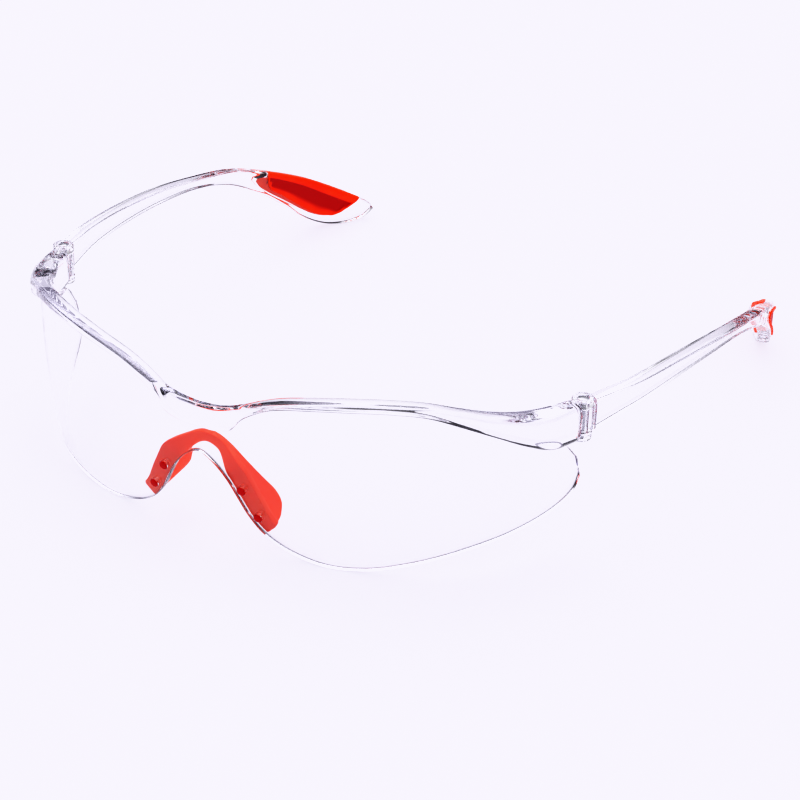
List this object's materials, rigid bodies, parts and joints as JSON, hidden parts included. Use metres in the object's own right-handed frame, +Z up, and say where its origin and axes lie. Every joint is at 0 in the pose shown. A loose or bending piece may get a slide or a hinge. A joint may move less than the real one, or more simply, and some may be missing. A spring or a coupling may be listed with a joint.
{
  "type": "safety glasses",
  "caption": "Clear wrap-around safety glasses: one-piece shield with moulded brow, soft nose piece and two pin-hinged folding arms with soft ear tips.",
  "frame": {"origin": "under the middle of the opened glasses, on the surface they stand on", "axes": "+X to the right seen from the front, +Y back along the open arms, +Z up"},
  "size_m": [0.1548, 0.169, 0.0433],
  "materials": {
    "clear_polycarbonate": "clear, polished",
    "red_rubber": "satin",
    "pin_steel": "bright"
  },
  "bodies": {
    "front": {"lens_shield": "clear_polycarbonate", "nose_piece": "red_rubber", "hinge_pin_right": "pin_steel", "hinge_pin_left": "pin_steel"},
    "arm_right": {"temple_right": "clear_polycarbonate", "tip_pad_right": "red_rubber"},
    "arm_left": {"temple_left": "clear_polycarbonate", "tip_pad_left": "red_rubber"}
  },
  "joints": [
    {"name": "hinge_right", "type": "hinge", "parent": "front", "child": "arm_right", "pos_m": [0.0681, -0.04056, 0.0317], "axis": [0, 0, 1], "range_deg": [0, 82]},
    {"name": "hinge_left", "type": "hinge", "parent": "front", "child": "arm_left", "pos_m": [-0.0681, -0.04056, 0.0317], "axis": [0, 0, -1], "range_deg": [0, 90]}
  ]
}
